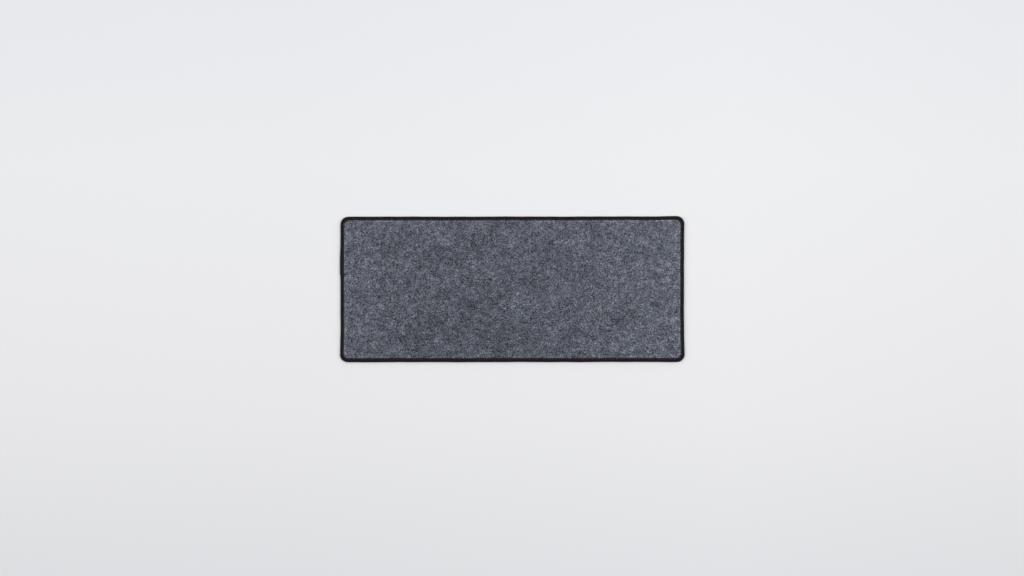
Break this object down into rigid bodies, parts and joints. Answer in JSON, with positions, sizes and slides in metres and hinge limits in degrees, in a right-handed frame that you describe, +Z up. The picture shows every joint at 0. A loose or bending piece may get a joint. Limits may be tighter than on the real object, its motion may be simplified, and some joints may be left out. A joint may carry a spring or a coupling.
{
  "type": "desk pad",
  "caption": "Flat rectangular felt desk pad with rounded corners, an overlocked thread edge and a non-slip rubber base, laid under a keyboard and mouse.",
  "frame": {"origin": "middle of the underside, on the table", "axes": "+X along the width, +Y towards the far edge, +Z up"},
  "size_m": [0.7011, 0.296, 0.0054],
  "materials": {
    "felt": "matt needle-punched felt, mottled blue-grey",
    "thread": "black textured sewing yarn with a faint sheen",
    "rubber": "matt black sheet with a fine non-slip texture",
    "adhesive": "cloudy hot-melt film"
  },
  "bodies": {
    "root": {"felt_top": "felt", "adhesive_film": "adhesive", "rubber_base": "rubber", "upper_looper_thread": "thread", "lower_looper_thread": "thread", "needle_thread": "thread", "seam_overlap": "thread"}
  },
  "joints": []
}
